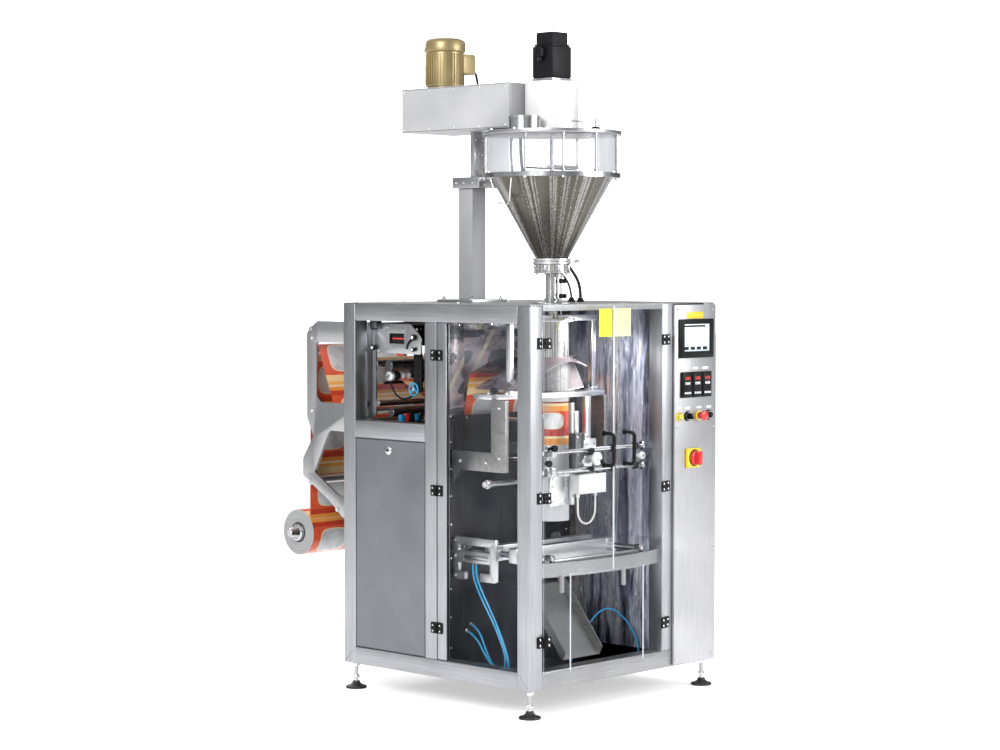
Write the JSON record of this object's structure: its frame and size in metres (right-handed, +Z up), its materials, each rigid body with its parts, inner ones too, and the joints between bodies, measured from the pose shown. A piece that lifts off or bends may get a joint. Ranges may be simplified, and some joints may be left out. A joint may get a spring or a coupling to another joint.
{
  "type": "vertical form fill sealer",
  "caption": "Vertical form fill and seal machine: stainless cabinet with bowed acrylic doors, rear film rack and an auger filler with cone hopper above.",
  "frame": {"origin": "on the floor, in the middle of the outline", "axes": "+Z up, the front doors face -Y, +X to the right as seen from the front"},
  "size_m": [1.101, 1.6969, 2.601],
  "materials": {
    "stainless": "brushed",
    "bright_steel": "polished",
    "grey_panel": "satin",
    "acrylic": "clear",
    "black_plastic": "matte",
    "white_plastic": "satin",
    "yellow_plastic": "gloss",
    "red_plastic": "gloss",
    "aluminium": "satin",
    "film": "gloss, printed",
    "gold_paint": "metallic",
    "blue_hose": "gloss",
    "white_cable": "satin",
    "black_cable": "satin"
  },
  "bodies": {
    "machine": {"main_frame": "stainless", "roof_plate": "stainless", "cabinet_liner": "stainless", "inner_bulkhead": "stainless", "lower_panel": "grey_panel", "hinge_bases": "black_plastic", "front_rail": "stainless", "discharge_chute": "stainless", "control_panel": "stainless", "operator_screen": "black_plastic", "temperature_controllers": "black_plastic", "switch_plates": "yellow_plastic", "levelling_feet": "black_plastic", "film_rack": "stainless", "film_web": "film", "date_coder": "aluminium", "forming_frame": "aluminium", "forming_collar": "stainless", "forming_tube": "bright_steel", "sealer_frame": "bright_steel", "junction_box": "white_plastic", "pull_units": "black_plastic", "jaw_guides": "bright_steel", "filler_post": "stainless", "drive_box": "stainless", "agitator_motor": "gold_paint", "servo_motor": "black_plastic", "hopper_lid": "stainless", "hopper_ring": "acrylic", "hopper_cone": "stainless", "filler_tube": "stainless", "hose_cylinder_front": "blue_hose", "hose_cylinder_rear": "blue_hose", "hose_right": "blue_hose", "cable_white": "white_cable", "cable_servo": "black_cable", "cable_level": "black_cable"},
    "lock": {"panel_lock": "bright_steel"},
    "side_door": {"side_door_stile": "stainless", "side_door_glass": "acrylic"},
    "left_door": {"left_front_door": "acrylic", "left_door_hinges": "black_plastic", "left_door_handle": "black_plastic"},
    "right_door": {"right_front_door": "acrylic", "right_door_hinges": "black_plastic", "right_door_handle": "black_plastic"},
    "button_left": {"push_button_left": "yellow_plastic"},
    "button_right": {"push_button_right": "black_plastic"},
    "estop": {"estop_button": "red_plastic"},
    "selector": {"selector_knob": "black_plastic"},
    "main_switch": {"main_switch_knob": "red_plastic"},
    "roll": {"film_roll": "film"},
    "idler": {"top_roller": "aluminium"},
    "dancer": {"dancer_arm": "aluminium"},
    "sealer": {"vertical_sealer": "aluminium"},
    "belt_left": {"left_belt_pulley": "aluminium"},
    "belt_right": {"right_belt_pulley": "aluminium"},
    "jaw_front": {"front_jaw": "aluminium"},
    "jaw_rear": {"rear_jaw": "aluminium"},
    "auger": {"auger_screw": "bright_steel"}
  },
  "joints": [
    {"name": "lock_turn", "type": "hinge", "parent": "machine", "child": "lock", "pos_m": [-0.54, 0.018, 0.966], "axis": [1, 0, 0], "range_deg": [0, 90]},
    {"name": "side_door_swing", "type": "hinge", "parent": "machine", "child": "side_door", "pos_m": [-0.547, -0.252, 0.82], "axis": [0, 0, -1], "range_deg": [0, 110]},
    {"name": "left_door_swing", "type": "hinge", "parent": "machine", "child": "left_door", "pos_m": [-0.472, -0.75, 0.85], "axis": [0, 0, -1], "range_deg": [0, 110]},
    {"name": "right_door_swing", "type": "hinge", "parent": "machine", "child": "right_door", "pos_m": [0.229, -0.75, 0.85], "axis": [0, 0, 1], "range_deg": [0, 110]},
    {"name": "button_left_press", "type": "slide", "parent": "machine", "child": "button_left", "axis": [0, 1, 0], "range_m": [0, 0.004], "stiffness_N_per_m": 600},
    {"name": "button_right_press", "type": "slide", "parent": "machine", "child": "button_right", "axis": [0, 1, 0], "range_m": [0, 0.004], "stiffness_N_per_m": 600},
    {"name": "estop_press", "type": "slide", "parent": "machine", "child": "estop", "axis": [0, 1, 0], "range_m": [0, 0.006], "stiffness_N_per_m": 900},
    {"name": "selector_turn", "type": "hinge", "parent": "machine", "child": "selector", "pos_m": [0.357, -0.769, 1.094], "axis": [0, 1, 0], "range_deg": [-45, 45]},
    {"name": "main_switch_turn", "type": "hinge", "parent": "machine", "child": "main_switch", "pos_m": [0.385, -0.783, 0.928], "axis": [0, 1, 0], "range_deg": [0, 90]},
    {"name": "roll_spin", "type": "hinge", "parent": "machine", "child": "roll", "pos_m": [-0.133, 0.747, 0.575], "axis": [1, 0, 0], "continuous": true},
    {"name": "idler_spin", "type": "hinge", "parent": "machine", "child": "idler", "pos_m": [-0.133, 0.639, 1.34], "axis": [1, 0, 0], "continuous": true},
    {"name": "dancer_swing", "type": "hinge", "parent": "machine", "child": "dancer", "pos_m": [-0.133, 0.352, 1.1], "axis": [1, 0, 0], "range_deg": [0, 12]},
    {"name": "sealer_press", "type": "slide", "parent": "machine", "child": "sealer", "axis": [0, 1, 0], "range_m": [0, 0.012]},
    {"name": "belt_left_spin", "type": "hinge", "parent": "machine", "child": "belt_left", "pos_m": [-0.225, -0.475, 1.09], "axis": [0, 1, 0], "continuous": true},
    {"name": "belt_right_spin", "type": "hinge", "parent": "machine", "child": "belt_right", "pos_m": [-0.041, -0.475, 1.09], "axis": [0, 1, 0], "continuous": true},
    {"name": "front_jaw_close", "type": "slide", "parent": "machine", "child": "jaw_front", "axis": [0, 1, 0], "range_m": [0, 0.04]},
    {"name": "rear_jaw_close", "type": "slide", "parent": "machine", "child": "jaw_rear", "axis": [0, -1, 0], "range_m": [0, 0.04]},
    {"name": "auger_spin", "type": "hinge", "parent": "machine", "child": "auger", "pos_m": [-0.133, -0.475, 1.5], "axis": [0, 0, 1], "continuous": true}
  ],
  "couplings": [
    {"joint": "rear_jaw_close", "follows": "front_jaw_close", "ratio": 1},
    {"joint": "belt_right_spin", "follows": "belt_left_spin", "ratio": -1}
  ]
}
